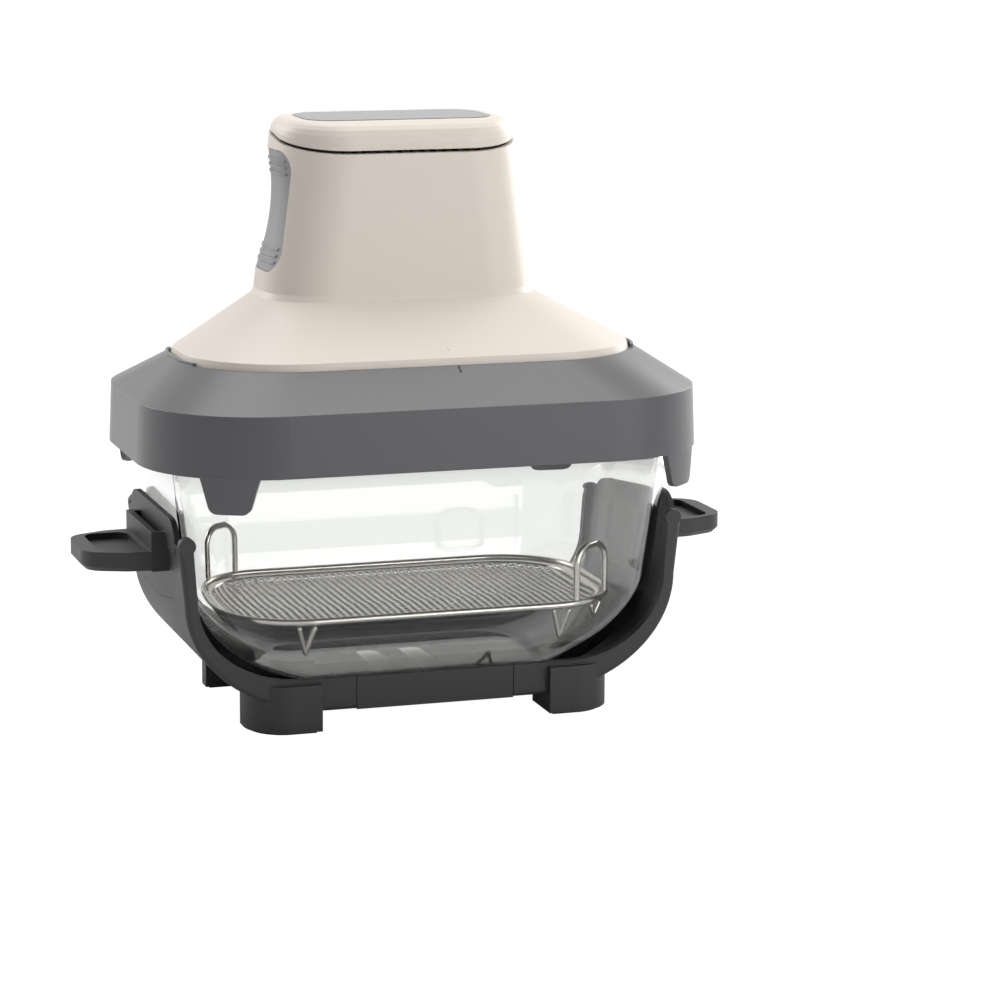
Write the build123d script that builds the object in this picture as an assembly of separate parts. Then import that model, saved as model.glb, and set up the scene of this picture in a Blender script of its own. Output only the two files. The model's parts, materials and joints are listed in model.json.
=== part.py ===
from build123d import *
import os
from math import asin, cos, degrees, radians, sin, sqrt

# Air fryer oven: a heating pod on an adapter ring, on a glass bowl in a two-handled cradle.
# Millimetres, +Z up, origin at the bottom centre, front towards -Y, handles along X.

# Clearances between pieces
seat_gap = 0.3
slide_gap = 0.3
inlay_gap = 0.2
fit_gap = 0.05

# Cradle: a centre bridge and two brackets that slide out of it
bar_underside = 10.5
bar_top = 27.5
base_wall = 2.5
base_half_depth = 62.5
rail_thickness = 5.1
bar_depth = 10.5
bar_shoulder = 10.0
bridge_half_length = 42.0
seam_gap = 0.3
tongue_length = 30.0
tongue_width = 6.0
tongue_height = 5.5
end_wall_reach = 6.3
end_wall_lean = 3.2
end_wall_top = 100.2
end_curve_height = 60.0
end_curve_length = 75.0
rail_width = 6.3
rail_curve_length = 52.5
rail_curve_height = 44.5
knob_radius = 4.3
cradle_edge_round = 2.5
rail_lean = 2.0
rib_thickness = 2.4
rib_y = 24.0
bridge_window_length = 60.0
bridge_window_width = 14.0
bridge_window_x = 12.0

# Handle tongues with their grip pocket, upright ridge and tab
handle_reach = 174.0
handle_top = 92.0
handle_thickness = 10.2
handle_half_width = 31.0
handle_tip_half_width = 21.0
handle_corner = 13.0
handle_knee_share = 0.475
pocket_depth = 3.4
pocket_margin = 8.0
pocket_corner_share = 0.29787
ridge_top = 102.0
ridge_offset = 3.6
ridge_thickness = 3.4
groove_width = 3.6
groove_depth = 7.0
tab_top = 111.0
tab_half_width = 54.0
tab_corner = 15.0
tab_thickness = 3.0
tab_pad_thickness = 1.3
tab_pad_half_width = 18.0
tab_pad_height = 10.0

# Flush insert in each end wall
insert_thickness = 1.6
insert_back = 37.0
insert_front = 36.5
insert_high = 67.0
insert_low = 63.0
insert_foot = 24.0

# Feet
foot_inner = 61.0
foot_outer = 97.5
foot_proud = 3.5
foot_depth = 28.0
foot_corner = 21.0
foot_rise = 15.0
foot_pad_thickness = 2.2
foot_pad_recess = 1.0
foot_pad_margin = 2.5

# Bowl pads on the bridge
bowl_pad_thickness = 2.2
bowl_pad_radius = 7.0
bowl_pad_x = 30.0
bowl_pad_y = 26.0

# Glass bowl, as half sizes of rounded rectangles at the foot, the waist and the rim
glass = 4.0
bowl_height = 134.5
bowl_curve_height = 54.5
bowl_curve_power = 1.6
bowl_curve_steps = 7
foot_half = (72.0, 39.0, 26.0)
waist_half = (124.5, 72.0, 36.0)
rim_half = (134.0, 82.5, 44.0)
bead_out = 2.0
bead_height = 5.0

# Crisper tray
tray_half = (106.0, 61.0, 42.0)
tray_height = 42.2
tray_wire = 1.7
tray_sheet = 1.0
tray_dish = 2.5
tray_hole = 5.2
tray_pitch = 10.5
leg_wire = 1.3
leg_spread = 8.0
leg_x = 68.0
leg_drop = 16.0
leg_inset = 3.95
corner_leg_angle = 52.0
corner_leg_drop = 9.0
tray_handle_angle = 54.0
tray_handle_width = 26.0
tray_handle_height = 27.0
tray_handle_wire = 1.8

# Adapter ring
adapter_half = (148.0, 95.0, 64.0)
adapter_overlap = 12.0
band_height = 31.0
band_draft = 1.3
slope_height = 17.0
adapter_wall = 3.0
adapter_rim = 1.6
adapter_seat_depth = 1.8
adapter_opening_half = (106.0, 54.0, 50.0)
collar_wall = 2.5
ledge_thickness = 3.0
gasket_thickness = 1.7
gasket_width = 9.0
liner_thickness = 0.8
liner_height = 15.0
lug_drop = 17.6
lug_angles = (62.0, 46.0)
lug_top_width = 31.0
lug_tip_width = 20.0
lug_tip_round = 5.0
end_lip_height = 1.5
end_lip_half_width = 30.0
post_width = 10.0
post_height = 5.0
post_reach = 12.5
post_peg_radius = 1.8

# Pod housing: a skirt that rises into a tower
skirt_half = (120.6, 64.0, 57.0)
skirt_lip_height = 5.0
skirt_lip_draft = 1.6
neck_half = (72.3, 38.8, 31.0)
neck_rise = 30.7
neck_bend = 0.03
tower_half = (63.6, 38.4, 33.0)
tower_back_set = 17.0
tower_front_rise = 104.9
tower_tilt = 9.6
housing_wall = 2.6

# Cap, its touch panel and the vent neck below it
vent_gap = 1.7
cap_half = (62.8, 37.6, 32.2)
cap_top_half = (52.6, 26.4, 18.0)
cap_rise = 8.69606
cap_tilt = 1.2
cap_levels = (0.0, 0.25, 0.5, 0.7, 0.85, 0.95, 1.0)
cap_roundness = 2.2
cap_cavity_half = (53.0, 27.0, 19.0)
cap_roof = 5.2
panel_half = (50.2, 24.0, 15.0)
panel_thickness = 2.0
panel_proud = 0.3
vent_neck_half = (59.0, 33.8, 28.4)
vent_neck_wall = 2.0
vent_neck_depth = 3.0
vent_foot_thickness = 2.0
vent_foot_half_width = 44.0
vent_slot_width = 3.0
vent_slot_pitch = 6.0
vent_slot_count = 13

# Hand grips let into the tower's sides
grip_half_width = 28.3
grip_half_height = 31.0
grip_corner = 12.0
grip_rise = 74.5
grip_back_set = 5.7
grip_steps = 7
grip_hollow = 4.6
grip_thickness = 2.2
grip_rib = 0.6
grip_rib_pitch = 3.4
grip_rib_count = 3

# Pod underside, heater and fan
frame_thickness = 3.0
spigot_depth = 6.5
spigot_wall = 2.5
pan_half = (90.0, 46.5, 43.0)
pan_top_half = (62.0, 36.0, 34.0)
pan_depth = 20.0
pan_sheet = 0.9
pan_flange = 3.0
pan_back_set = 3.0
pan_top_back_set = 8.0
insulation_thickness = 4.0
insulation_half = (54.0, 30.5, 28.0)
fan_axis_y = 9.0
shaft_radius = 3.0
fan_radius = 32.0
fan_hub_radius = 7.0
fan_blade_height = 8.0
fan_disc_thickness = 1.2
fan_blade_count = 9
fan_blade_thickness = 1.2
fan_ceiling_gap = 3.0
shaft_fit = 0.05
motor_radius = 24.5
motor_length = 34.0
motor_stack_radius = 26.5
motor_stack_length = 16.0
motor_base_gap = 5.0
motor_post_radius = 2.5
motor_plate_thickness = 1.5
motor_plate_half_width = 27.0
cooling_fan_radius = 24.0
cooling_fan_height = 8.0
cooling_fan_blades = 7
coil_inner_radius = 24.0
coil_outer_radius = 35.0
coil_opening = 24.0
coil_wire_radius = 3.0
coil_drop = 3.0
lead_x = 52.0
lead_y = 5.0
lead_rise = 26.0
lead_clearance = 1.0
guard_rings = (14.0, 26.0, 38.0)
guard_wire = 1.1
guard_bar_half_length = 95.0
guard_bar_y = (-6.0, 17.0)
guard_drop = 3.5

# Pod electrics and interlock
board_thickness = 1.6
power_board_half_width = 30.0
power_board_height = 46.0
power_board_y = 46.0
power_board_rise = 37.5
control_board_half = (46.0, 20.0)
plunger_radius = 2.6
plunger_x = 97.0
plunger_fit = 0.08
plunger_collar_radius = 3.6
plunger_collar = 1.0
spring_length = 5.5
spring_wire = 0.4
spring_turns = 3
switch_reach = 13.0
switch_half_width = 6.0
switch_height = 4.6
switch_overhang = 1.5
switch_leg = 1.5
sensor_radius = 2.4
sensor_x = -50.0
sensor_rise = 6.5
cutout_radius = 7.0
cutout_height = 4.5
cutout_x = -34.0
gland_radius = 7.0
gland_bore = 3.6
gland_length = 9.0
gland_rise = 47.5
screw_head_radius = 3.0
screw_head_height = 1.8
screw_shank_radius = 1.5
screw_length = 8.0
screw_x = 94.5
screw_y = 24.0
screw_boss_radius = 3.6

# Heights that follow from the sizes above
cradle_floor = bar_underside + base_wall
bowl_base = cradle_floor + bowl_pad_thickness + seat_gap
bowl_top = bowl_base + bowl_height
bowl_waist = bowl_base + bowl_curve_height
tray_level = bowl_base + tray_height
ledge_bottom = bowl_top + seat_gap + gasket_thickness
band_bottom = bowl_top - adapter_overlap
crease_height = band_bottom + band_height
adapter_top = crease_height + slope_height
adapter_seat = adapter_top - adapter_seat_depth
skirt_bottom = adapter_seat + seat_gap
spigot_bottom = skirt_bottom - spigot_depth
pan_bottom = skirt_bottom + frame_thickness
pan_top = pan_bottom + pan_depth
insulation_top = pan_top + pan_sheet + insulation_thickness
fan_top = pan_top - fan_ceiling_gap
coil_level = pan_bottom + coil_wire_radius - coil_drop
motor_plate = insulation_top + motor_base_gap
motor_bottom = motor_plate + motor_plate_thickness
motor_top = motor_bottom + motor_length
plunger_tip = spigot_bottom - slide_gap
post_low = plunger_tip - seat_gap - post_height
collar_top = adapter_seat - adapter_wall
end_wall_x = waist_half[0] + end_wall_reach
waist_x = -end_wall_x + end_curve_length
rail_waist_x = end_wall_x - rail_width
rail_centre_x = -rail_waist_x + rail_curve_length
tab_x = end_wall_x + end_wall_lean
neck_height = skirt_bottom + neck_rise
grip_centre = skirt_bottom + grip_rise
slot_height = skirt_bottom + tower_front_rise + tower_half[1] * sin(radians(tower_tilt))
cap_top_height = slot_height + vent_gap + cap_rise
cap_cavity_top = cap_top_height - cap_roof
power_board_low = skirt_bottom + power_board_rise
gland_height = skirt_bottom + gland_rise
sensor_low = skirt_bottom + sensor_rise
cooling_low = motor_top + 3.0
cooling_top = cooling_low + cooling_fan_height
collar_low = pan_bottom + slide_gap
spring_low = collar_low + plunger_collar + fit_gap
gland_y = tower_back_set + neck_half[1]


def ring(half, z, grow=0.0, y=0.0):
    """A rounded rectangle of the given half sizes, lying level at height z."""
    outline = RectangleRounded(2 * (half[0] + grow), 2 * (half[1] + grow), half[2] + grow)
    return Pos(0, y, z) * outline


def mix(low, high, t):
    """Half sizes part of the way from one ring to another."""
    return tuple(a + (b - a) * t for a, b in zip(low, high))


def level_block(half, low, high, grow=0.0, y=0.0):
    """A straight upright block with a rounded rectangular plan."""
    return extrude(ring(half, low, grow, y), high - low)


def mirrored(solid):
    """The same piece for the right side."""
    return mirror(solid, about=Plane.YZ)


def side_profile(lines, half_depth):
    """A closed outline in X and Z, made solid to both sides of the middle."""
    face = make_face(Plane.XZ * lines)
    return extrude(face, half_depth, both=True)


def bowl_half(z):
    """Outer half sizes of the bowl at a height: a curved lower body, then a straight taper."""
    if z < bowl_waist:
        t = (z - bowl_base) / bowl_curve_height
        share = (1 - (1 - t) ** bowl_curve_power) ** (1 / bowl_curve_power)
        return mix(foot_half, waist_half, share)
    return mix(waist_half, rim_half, (z - bowl_waist) / (bowl_top - bowl_waist))


def bowl_rings(grow, floor):
    """Rings up the bowl's wall, from its floor to the rim."""
    levels = [bowl_base + bowl_curve_height * (i / bowl_curve_steps) ** 1.8 for i in range(bowl_curve_steps)]
    levels += [bowl_waist, bowl_top]
    rings = []
    for z in levels:
        lift = floor * (1 - min(1.0, (z - bowl_base) / bowl_curve_height))
        rings.append(ring(bowl_half(z), z + lift, grow))
    return rings


def make_bowl():
    """Glass bowl: tapered rounded rectangle with a curved foot and a beaded rim."""
    outer = loft(bowl_rings(0.0, 0.0), ruled=True)
    inner = loft(bowl_rings(-glass, glass), ruled=True)
    bead_low = bowl_half(bowl_top - bead_height)
    bead_rings = [
        ring(bead_low, bowl_top - bead_height - bead_out),
        ring(rim_half, bowl_top - bead_height, bead_out),
        ring(rim_half, bowl_top - bead_out / 2, bead_out),
        ring(rim_half, bowl_top, bead_out / 2),
    ]
    return outer + loft(bead_rings, ruled=True) - inner


def outer_profile(inset, top, seam):
    """Side outline of the left bracket's outside, or of its hollow when inset."""
    low = bar_underside + inset
    waist = bar_underside + end_curve_height
    return Curve() + [
        Line((seam, low), (waist_x, low)),
        EllipticalCenterArc((waist_x, waist), end_curve_length - inset, end_curve_height - inset, 180),
        Line((-end_wall_x + inset, waist), (-tab_x + inset, top)),
        Line((-tab_x + inset, top), (seam, top)),
        Line((seam, top), (seam, low)),
    ]


def rail_profile(top, seam):
    """Side outline of the open space inside the rails' edges."""
    waist = bar_top + rail_curve_height
    rim_x = -rail_waist_x - rail_lean
    return Curve() + [
        Line((seam, bar_top), (rail_centre_x, bar_top)),
        EllipticalCenterArc((rail_centre_x, waist), rail_curve_length, rail_curve_height, 180),
        Line((-rail_waist_x, waist), (rim_x, top)),
        Line((rim_x, top), (seam, top)),
        Line((seam, top), (seam, bar_top)),
    ]


def insert_outline(grow):
    """Block through the left end wall with the insert's stepped outline, seen from the end."""
    points = [
        (insert_back, insert_low + 1.5),
        (15.0, insert_low),
        (-4.0, insert_low),
        (-insert_front + 7.0, insert_high),
        (-insert_front, insert_high - 7.0),
        (-insert_front, insert_foot),
        (insert_back, insert_foot),
    ]
    face = make_face(Plane.YZ * Polyline(*points, close=True))
    return extrude(offset(face, grow) if grow else face, -2 * end_wall_x)


def foot_block(margin, low, high):
    """Front left foot: a block with a large round towards the cradle's corner."""
    left = -foot_outer + margin
    right = -foot_inner - margin
    front = -base_half_depth - foot_proud + margin
    back = front + foot_depth - 2 * margin
    radius = foot_corner - margin
    outline = Curve() + [
        Line((right, front), (left + radius, front)),
        CenterArc((left + radius, front + radius), radius, 180, 90),
        Line((left, front + radius), (left, back)),
        Line((left, back), (right, back)),
        Line((right, back), (right, front)),
    ]
    return Pos(0, 0, low) * extrude(make_face(outline), high - low)


def both_ends(solid):
    """A front piece and its mirror at the back."""
    return solid + mirror(solid, about=Plane.XZ)


def tongue(grow):
    """Front sliding tongue, or the socket round it when grown."""
    length = tongue_length + seam_gap + base_wall + grow
    centre_x = -bridge_half_length - seam_gap / 2 - base_wall / 2 + (tongue_length - base_wall) / 2
    centre_y = -base_half_depth + bar_depth / 2
    centre_z = bar_underside + bar_shoulder / 2 - 0.25
    block = Box(length, tongue_width + 2 * grow, tongue_height + 2 * grow)
    return Pos(centre_x, centre_y, centre_z) * block


def handle_plate():
    """Left handle tongue in plan: straight root, tapered sides and a rounded tip."""
    root = -tab_x
    knee = root - (handle_reach - tab_x) * handle_knee_share
    points = [
        (root, -handle_half_width),
        (knee, -handle_half_width + 1.5),
        (-handle_reach, -handle_tip_half_width),
        (-handle_reach, handle_tip_half_width),
        (knee, handle_half_width - 1.5),
        (root, handle_half_width),
    ]
    face = make_face(Polyline(*points, close=True))
    corners = face.vertices().filter_by(lambda v: v.X < root - 1.0)
    face = fillet(corners, handle_corner)
    low = handle_top - handle_thickness
    plate = Pos(0, 0, low) * extrude(face, handle_thickness)
    underside = plate.faces().sort_by(Axis.Z)[0].edges()
    plate = chamfer(underside.filter_by(lambda e: e.center().X < root - 1.0), 2.5)
    pocket_left = -handle_reach + pocket_margin
    pocket_right = -tab_x - ridge_offset - ridge_thickness - 1.5
    pocket_length = pocket_right - pocket_left
    pocket_corner = pocket_length * pocket_corner_share
    pocket = RectangleRounded(pocket_length, 2 * (handle_half_width - pocket_margin), pocket_corner)
    place = Pos((pocket_left + pocket_right) / 2, 0, handle_top - pocket_depth)
    return plate - place * extrude(pocket, pocket_depth + 1.0)


def handle_root():
    """Upright ridge and root block behind the handle, with the groove in front of the tab."""
    low = handle_top - handle_thickness
    inner = -tab_x + tab_thickness
    outer = -tab_x - ridge_offset - ridge_thickness
    block = Box(inner - outer, 2 * handle_half_width, ridge_top - low)
    block = Pos((inner + outer) / 2, 0, (low + ridge_top) / 2) * block
    groove_x = -tab_x - groove_width / 2
    groove = Box(groove_width, 2 * handle_half_width - 8.0, groove_depth)
    return block - Pos(groove_x, 0, ridge_top - groove_depth / 2 + 0.01) * groove


def tab():
    """Tab that rises behind the ridge against the bowl's end."""
    outline = RectangleRounded(2 * tab_half_width, 2 * (tab_top - end_wall_top + 10.0), tab_corner)
    plate = extrude(Plane.YZ * outline, tab_thickness)
    half = Pos(-tab_x, 0, end_wall_top - 10.0) * plate
    return half - Pos(-tab_x, 0, end_wall_top - 60.0) * Box(20.0, 200.0, 110.0)


def rail_knob():
    """Rounded end of the front rail."""
    barrel = Rot(90, 0, 0) * Cylinder(knob_radius, rail_thickness)
    return Pos(-tab_x + knob_radius + 0.4, -base_half_depth + rail_thickness / 2, end_wall_top) * barrel


def make_bracket():
    """Left bracket: a moulded end wall with front and back rails, feet, handle and tongues."""
    seam = -bridge_half_length - seam_gap
    body = side_profile(outer_profile(0.0, end_wall_top, seam), base_half_depth)
    edges = body.edges().filter_by(lambda e: abs(abs(e.center().Y) - base_half_depth) < 0.01)
    edges = edges.filter_by(lambda e: e.center().X < seam - 1.0 and e.center().Z < end_wall_top - 1.0)
    body = fillet(edges, cradle_edge_round)
    body += both_ends(foot_block(0.0, foot_pad_thickness - foot_pad_recess, bar_underside + foot_rise))
    hollow_depth = base_half_depth - rail_thickness
    hollow = side_profile(outer_profile(base_wall, end_wall_top + 1.0, seam + 1.0), hollow_depth)
    keep = Box(400.0, 400.0, bar_shoulder)
    middle = Box(400.0, 2 * (base_half_depth - bar_depth), 400.0)
    hollow -= Pos(0, 0, bar_underside + bar_shoulder / 2) * keep - middle
    body -= hollow
    body -= side_profile(rail_profile(end_wall_top + 1.0, seam + 1.0), base_half_depth + 1.0)
    ribs = [Pos(-end_wall_x + 12.0, y, 58.0) * Box(24.0, rib_thickness, 84.0) for y in (-rib_y, rib_y)]
    shell = side_profile(outer_profile(1.0, end_wall_top - 4.0, seam), base_half_depth - 1.0)
    cavity = loft(bowl_rings(seat_gap + 0.4, 0.0), ruled=True)
    for rib in ribs:
        body += (rib & shell) - cavity
    body += both_ends(tongue(0.0))
    body += both_ends(rail_knob())
    body += handle_plate() + handle_root() + tab()
    around = side_profile(outer_profile(-1.0, end_wall_top, seam), base_half_depth + 1.0)
    inner = outer_profile(insert_thickness, end_wall_top + 1.0, seam + 1.0)
    behind = side_profile(inner, base_half_depth + 2.0)
    body -= (insert_outline(inlay_gap) & around) - behind
    pads = both_ends(foot_block(foot_pad_margin - seat_gap / 2, -1.0, foot_pad_thickness))
    return body - pads


def make_insert():
    """Flush insert of the left end wall."""
    seam = -bridge_half_length
    block = insert_outline(0.0) & side_profile(outer_profile(0.0, end_wall_top, seam), base_half_depth)
    inner = outer_profile(insert_thickness - fit_gap, end_wall_top + 1.0, seam + 1.0)
    return block - side_profile(inner, base_half_depth + 2.0)


def make_foot_pads():
    """Rubber pads under the left bracket's two feet."""
    return both_ends(foot_block(foot_pad_margin, 0.0, foot_pad_thickness))


def make_tab_pad():
    """Silicone pad on the inner face of the left tab."""
    outline = RectangleRounded(2 * tab_pad_half_width, tab_pad_height, 3.0)
    plate = extrude(Plane.YZ * outline, tab_pad_thickness)
    return Pos(-tab_x + tab_thickness, 0, tab_top - tab_pad_height / 2 - 2.0) * plate


def make_bridge():
    """Centre bridge: two bars with sockets for the tongues, and a floor between them."""
    half = bridge_half_length
    inner = base_half_depth - bar_depth
    section = make_face(
        Plane.YZ
        * Polyline(
            (-base_half_depth, bar_underside),
            (-base_half_depth, bar_top),
            (-base_half_depth + rail_thickness, bar_top),
            (-base_half_depth + rail_thickness, bar_underside + bar_shoulder + 2.0),
            (-base_half_depth + rail_thickness + 1.5, bar_underside + bar_shoulder),
            (-inner, bar_underside + bar_shoulder),
            (-inner, bar_underside),
            close=True,
        )
    )
    bar = extrude(section, half, both=True)
    socket = tongue(slide_gap)
    bar -= socket + mirrored(socket)
    floor = Pos(0, 0, bar_underside + base_wall / 2) * Box(2 * half, 2 * inner, base_wall)
    window = extrude(RectangleRounded(bridge_window_width, bridge_window_length, 5.0), 40.0)
    for x in (-bridge_window_x, bridge_window_x):
        floor -= Pos(x, 0, 0) * window
    ribs = [Pos(x, 0, bar_underside + base_wall / 2) * Box(2.0, 2 * inner, base_wall) for x in (-2.0, 2.0)]
    bridge = both_ends(bar) + floor
    for rib in ribs:
        bridge += rib
    return bridge


def make_bowl_pads():
    """Four silicone pads that carry the bowl on the bridge."""
    pad = Pos(0, 0, cradle_floor) * extrude(Circle(bowl_pad_radius), bowl_pad_thickness)
    spots = [(x, y) for x in (-bowl_pad_x, bowl_pad_x) for y in (-bowl_pad_y, bowl_pad_y)]
    return Compound(children=[Pos(x, y, 0) * pad for x, y in spots])


def rod(start, end, radius):
    """Round wire between two points, with a ball at each end."""
    run = Vector(*end) - Vector(*start)
    body = extrude(Plane(origin=start, z_dir=run) * Circle(radius), run.length)
    return body + Pos(*start) * Sphere(radius) + Pos(*end) * Sphere(radius)


def swept_wire(path, radius):
    """Round wire bent along a path."""
    start = Plane(origin=path @ 0, z_dir=path % 0)
    return sweep(start * Circle(radius), path=path)


def make_crisper_rim():
    """Wire ring round the crisper tray."""
    path = ring(tray_half, tray_level).wire()
    return swept_wire(path, tray_wire)


def make_crisper_sheet():
    """Dished tray floor pierced with diamond holes."""
    flat = tray_dish + tray_sheet
    margin = tray_wire + seat_gap / 2
    low = ring(tray_half, tray_level - flat, -4 * flat)
    high = ring(tray_half, tray_level, -margin)
    dish = loft([low, high], ruled=True)
    dish -= Pos(0, 0, tray_sheet) * dish
    across = tray_half[0] - 4 * flat - tray_hole
    depth = tray_half[1] - 4 * flat - tray_hole
    columns = int(across / tray_pitch)
    rows = int(depth / tray_pitch)
    corner = tray_half[2] - 4 * flat - tray_hole
    holes = []
    for i in range(-columns, columns + 1):
        for j in range(-rows, rows + 1):
            over_x = abs(i * tray_pitch) - (across - corner)
            over_y = abs(j * tray_pitch) - (depth - corner)
            if over_x > 0 and over_y > 0 and sqrt(over_x**2 + over_y**2) > corner:
                continue
            holes.append(Pos(i * tray_pitch, j * tray_pitch) * Rectangle(tray_hole, tray_hole, 45))
    cut = extrude(Sketch() + holes, 20.0)
    return dish - Pos(0, 0, tray_level - 10.0) * cut


def make_crisper_legs():
    """Wire legs bent in a V: two on each long side and one at each of two corners."""
    legs = []
    top = tray_level - tray_wire - leg_wire
    for x in (-leg_x, leg_x):
        for side in (-1, 1):
            y = side * tray_half[1]
            tip = (x, y - side * leg_inset, tray_level - leg_drop)
            near = rod((x - leg_spread / 2, y, top), tip, leg_wire)
            legs.append(near + rod((x + leg_spread / 2, y, top), tip, leg_wire))
    for side in (-1, 1):
        angle = radians(corner_leg_angle)
        centre_x = side * (tray_half[0] - tray_half[2])
        centre_y = side * (tray_half[1] - tray_half[2])
        feet = []
        for turn in (-0.09, 0.09):
            along = angle + turn
            x = centre_x + side * tray_half[2] * cos(along)
            y = centre_y + side * tray_half[2] * sin(along)
            feet.append((x, y, top))
        reach = side * (tray_half[2] - 1.0)
        tip = (centre_x + reach * cos(angle), centre_y + reach * sin(angle), tray_level - corner_leg_drop)
        legs.append(rod(feet[0], tip, leg_wire) + rod(feet[1], tip, leg_wire))
    corner_mirror = [mirror(leg, about=Plane.XZ) for leg in legs[-2:]]
    return Compound(children=legs[:-2] + corner_mirror)


def make_crisper_handles():
    """U-shaped lifting wires at two opposite corners of the tray."""
    half = tray_handle_width / 2
    corners = [(-half, 0), (-half, tray_handle_height), (half, tray_handle_height), (half, 0)]
    path = FilletPolyline(*corners, radius=10)
    loop = Rot(90, 0, 0) * swept_wire(path, tray_handle_wire)
    angle = radians(tray_handle_angle)
    reach = sqrt(tray_half[2] ** 2 - half**2)
    centre_x = tray_half[0] - tray_half[2] + reach * cos(angle)
    centre_y = tray_half[1] - tray_half[2] + reach * sin(angle)
    base = tray_level + tray_wire + seat_gap / 2
    right = Pos(centre_x, -centre_y, base) * Rot(0, 0, 90 - tray_handle_angle) * loop
    left = Rot(0, 0, 180) * right
    return Compound(children=[right, left])


def grown(half, grow):
    """Half sizes with every face moved out by the same amount."""
    return tuple(value + grow for value in half)


def adapter_skin(inset):
    """Outer form of the adapter, or its hollow when inset: an upright band under a sloping shoulder."""
    top = adapter_top - (inset + adapter_seat_depth if inset else 0.0)
    crease = grown(adapter_half, -band_draft)
    rings = [
        ring(adapter_half, band_bottom - (1.0 if inset else 0.0), -inset),
        ring(crease, crease_height - inset / 3, -inset),
        ring(grown(skirt_half, adapter_rim + seat_gap * 2), top, -inset),
    ]
    return loft(rings, ruled=True)


def adapter_lugs():
    """Four tongues that hang from the band over the bowl's corners, alike at opposite corners."""
    low = band_bottom - lug_drop
    wall = level_block(adapter_half, low, band_bottom + 1.0)
    wall -= level_block(adapter_half, low - 1.0, band_bottom + 2.0, -adapter_wall)
    shape = make_face(
        Polyline(
            (-lug_top_width / 2, 1.0),
            (lug_top_width / 2, 1.0),
            (lug_tip_width / 2, -lug_drop),
            (-lug_tip_width / 2, -lug_drop),
            close=True,
        )
    )
    shape = fillet(shape.vertices().sort_by(Axis.Y)[:2], lug_tip_round)
    cutter = Pos(30.0, 0, 0) * extrude(Plane.YZ * shape, 60.0)
    corner_x = adapter_half[0] - adapter_half[2]
    corner_y = adapter_half[1] - adapter_half[2]
    front_left, front_right = lug_angles
    left = Pos(-corner_x, -corner_y, band_bottom) * Rot(0, 0, 180.0 + front_left) * cutter & wall
    right = Pos(corner_x, -corner_y, band_bottom) * Rot(0, 0, -front_right) * cutter & wall
    pair = left + right
    return pair + Rot(0, 0, 180) * pair


def make_adapter():
    """Adapter ring: outer skin with its top seat, end lips and corner lugs."""
    body = adapter_skin(0.0) - adapter_skin(adapter_wall) + adapter_lugs()
    rim = grown(skirt_half, adapter_rim + seat_gap * 2)
    lip = level_block(rim, adapter_top - 0.5, adapter_top + end_lip_height)
    body += lip & Box(400.0, 2 * end_lip_half_width, 1000.0)
    body -= level_block(adapter_opening_half, collar_top - 1.0, adapter_top + 5.0)
    return body - level_block(skirt_half, adapter_seat, adapter_top + 5.0, seat_gap * 2)


def make_collar():
    """Inner collar under the seat, with the ledge that comes down on the bowl's rim."""
    collar = level_block(adapter_opening_half, ledge_bottom, collar_top, collar_wall)
    ledge_half = grown(rim_half, bead_out + 2.5)
    collar += level_block(ledge_half, ledge_bottom, ledge_bottom + ledge_thickness)
    collar -= level_block(adapter_opening_half, ledge_bottom - 1.0, collar_top + 1.0)
    return collar - post_peg(shaft_fit)


def post_peg(grow):
    """Peg that holds the interlock post through the collar's right end."""
    peg = Rot(0, 90, 0) * Cylinder(post_peg_radius + grow, collar_wall + 1.0)
    return Pos(adapter_opening_half[0] + collar_wall / 2 - 0.5, 0, post_low + post_height / 2) * peg


def make_post():
    """Post inside the collar that presses the interlock plunger."""
    left = adapter_opening_half[0] - post_reach
    block = Box(post_reach, post_width, post_height)
    return Pos(left + post_reach / 2 - fit_gap, 0, post_low + post_height / 2) * block + post_peg(0.0)


def make_gasket():
    """Silicone gasket between the bowl's rim and the adapter's ledge."""
    outer = grown(rim_half, bead_out)
    low = ledge_bottom - gasket_thickness
    bore = level_block(outer, low - 1.0, ledge_bottom + 1.0, -gasket_width)
    return level_block(outer, low, ledge_bottom) - bore


def make_liner():
    """Steel sleeve inside the lower part of the adapter's collar."""
    low = ledge_bottom - liner_thickness
    high = ledge_bottom + liner_height
    sleeve = level_block(adapter_opening_half, low, high, -fit_gap)
    sleeve += level_block(adapter_opening_half, low, ledge_bottom - fit_gap, 8.0)
    return sleeve - level_block(adapter_opening_half, low - 1.0, high + 1.0, -fit_gap - liner_thickness)


def tower_plane(height, tilt):
    """Plane across the tower that rises towards the back; height is on the tower's axis."""
    normal = (0, -sin(radians(tilt)), cos(radians(tilt)))
    return Plane(origin=(0, tower_back_set, height), x_dir=(1, 0, 0), z_dir=normal)


def tilted_ring(half, height, tilt, grow=0.0):
    """Rounded rectangle lying in a tilted plane across the tower."""
    outline = RectangleRounded(2 * (half[0] + grow), 2 * (half[1] + grow), half[2] + grow)
    return tower_plane(height, tilt) * outline


def housing_rings(grow):
    """Rings up the pod housing: skirt, slope, a small bend at the neck, and the tower's tilted top."""
    lip = grown(skirt_half, -skirt_lip_draft)
    lip_top = skirt_bottom + skirt_lip_height
    below = mix(lip, neck_half, 1 - neck_bend)
    below_z, below_y = mix((lip_top, 0.0), (neck_height, tower_back_set), 1 - neck_bend)
    above = mix(neck_half, tower_half, neck_bend)
    above_z = neck_height + neck_bend * (slot_height - neck_height)
    return [
        ring(skirt_half, skirt_bottom - (1.0 if grow else 0.0), grow),
        ring(lip, lip_top, grow),
        ring(below, below_z, grow, below_y),
        ring(above, above_z, grow, tower_back_set),
        tilted_ring(tower_half, slot_height + (0.5 if grow else 0.0), tower_tilt, grow),
    ]


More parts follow.
